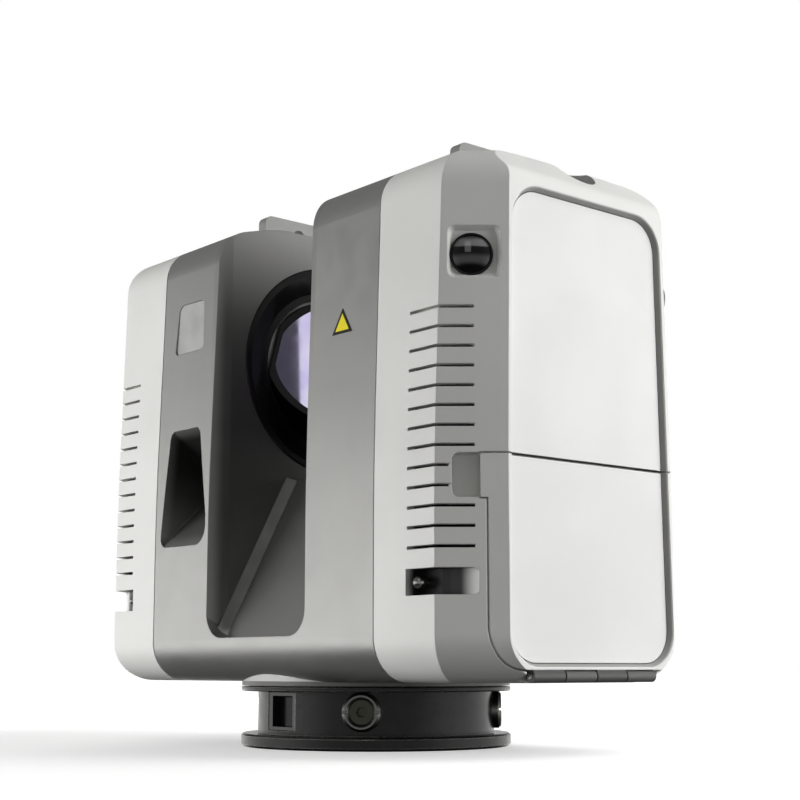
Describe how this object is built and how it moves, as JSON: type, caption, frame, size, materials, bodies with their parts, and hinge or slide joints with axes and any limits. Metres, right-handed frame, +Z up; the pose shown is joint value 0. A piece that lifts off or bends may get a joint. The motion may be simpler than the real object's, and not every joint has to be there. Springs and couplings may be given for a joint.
{
  "type": "terrestrial laser scanner",
  "caption": "U-shaped terrestrial laser scanner head with a spinning mirror between two towers, on a round rotating base.",
  "frame": {"origin": "centre of the base's underside, on the pan axis", "axes": "+X towards the battery tower, -Y towards the front, +Z up along the pan axis"},
  "size_m": [0.2403, 0.1216, 0.2314],
  "materials": {
    "frame_paint": "fine textured grey paint on cast metal",
    "shell_paint": "off-white satin",
    "panel_skin": "off-white satin, a little smoother",
    "screen_glass": "black, switched off",
    "seal_rubber": "matte",
    "hinge_paint": "satin grey",
    "pin_steel": "turned",
    "tray_plastic": "moulded",
    "battery_case": "moulded",
    "contact_metal": "gold plated",
    "board": "green circuit board",
    "machined_alloy": "machined",
    "black_alloy": "black anodised",
    "beam_glass": "coated",
    "frosted_pane": "frosted light grey pane",
    "window_glass": "dark",
    "mirror_coating": "polished, lavender coating",
    "bezel_black": "gloss black",
    "bearing_steel": "ground",
    "encoder_metal": "etched disc",
    "motor_iron": "wound core",
    "lens_glass": "dark coated dome",
    "lug_paint": "satin light grey",
    "sticker_yellow": "plain yellow film",
    "button_grey": "satin",
    "base_black": "satin black anodised, bright turned edges",
    "window_metal": "bright machined",
    "lock_ring": "polished",
    "lock_steel": "satin",
    "slip_plastic": "moulded"
  },
  "bodies": {
    "base": {"base_housing": "base_black", "tripod_plate": "machined_alloy", "plate_screws": "pin_steel", "window_frame": "window_metal", "window_glass": "window_glass", "lock_seats": "lock_ring", "pan_bearing_inner": "bearing_steel", "pan_stator": "motor_iron", "slip_ring": "slip_plastic"},
    "lock_1": {"lock_cam_1": "lock_steel"},
    "lock_2": {"lock_cam_2": "lock_steel"},
    "lock_3": {"lock_cam_3": "lock_steel"},
    "scanner_body": {"main_frame": "frame_paint", "sensor_window": "frosted_pane", "right_shell": "shell_paint", "left_shell": "shell_paint", "upper_panel": "panel_skin", "display_panel": "panel_skin", "display_glass": "screen_glass", "shell_seals": "seal_rubber", "hinge_leaf": "hinge_paint", "hinge_pin": "pin_steel", "battery_tray": "tray_plastic", "battery_front": "battery_case", "battery_rear": "battery_case", "battery_contacts": "contact_metal", "main_board": "board", "control_board": "board", "laser_module": "machined_alloy", "laser_shelf": "machined_alloy", "collimator_tube": "black_alloy", "beam_window": "beam_glass", "mirror_bezel": "bezel_black", "spindle_housing": "machined_alloy", "spindle_bearings": "bearing_steel", "mirror_stator": "motor_iron", "camera_barrels": "black_alloy", "camera_lenses": "lens_glass", "groove_pins": "pin_steel", "carry_lugs": "lug_paint", "warning_sticker": "sticker_yellow", "fan_frame": "tray_plastic", "pan_bearing_outer": "bearing_steel", "pan_shaft": "machined_alloy", "pan_rotor": "motor_iron", "pan_encoder": "encoder_metal"},
    "mirror": {"mirror_drum": "black_alloy", "mirror_glass": "mirror_coating", "mirror_shaft": "bearing_steel", "mirror_rotor": "motor_iron", "mirror_encoder": "encoder_metal", "spindle_inner_rings": "bearing_steel"},
    "battery_door": {"door_shell": "shell_paint", "door_panel": "panel_skin", "door_seal": "seal_rubber"},
    "power_button": {"power_button": "button_grey"},
    "fan_rotor": {"fan_rotor": "tray_plastic"}
  },
  "joints": [
    {"name": "pan", "type": "hinge", "parent": "base", "child": "scanner_body", "pos_m": [0, 0, 0.03], "axis": [0, 0, 1], "continuous": true},
    {"name": "mirror_spin", "type": "hinge", "parent": "scanner_body", "child": "mirror", "pos_m": [0, 0, 0.157], "axis": [1, 0, 0], "continuous": true},
    {"name": "battery_door", "type": "hinge", "parent": "scanner_body", "child": "battery_door", "pos_m": [0.1181, 0, 0.0277], "axis": [0, 1, 0], "range_deg": [0, 95]},
    {"name": "power_button", "type": "slide", "parent": "scanner_body", "child": "power_button", "axis": [1, 0, 0], "range_m": [0, 0.0015], "stiffness_N_per_m": 400, "springref_m": -0.0005},
    {"name": "fan_spin", "type": "hinge", "parent": "scanner_body", "child": "fan_rotor", "pos_m": [-0.088, 0.052, 0.112], "axis": [0, 1, 0], "continuous": true},
    {"name": "lock_1_turn", "type": "hinge", "parent": "base", "child": "lock_1", "pos_m": [0.03265, -0.03381, 0.0142], "axis": [0.6947, -0.7193, 0], "range_deg": [0, 90]},
    {"name": "lock_2_turn", "type": "hinge", "parent": "base", "child": "lock_2", "pos_m": [0.03381, 0.03265, 0.0142], "axis": [0.7193, 0.6947, 0], "range_deg": [0, 90]},
    {"name": "lock_3_turn", "type": "hinge", "parent": "base", "child": "lock_3", "pos_m": [-0.03265, 0.03381, 0.0142], "axis": [-0.6947, 0.7193, 0], "range_deg": [0, 90]}
  ]
}
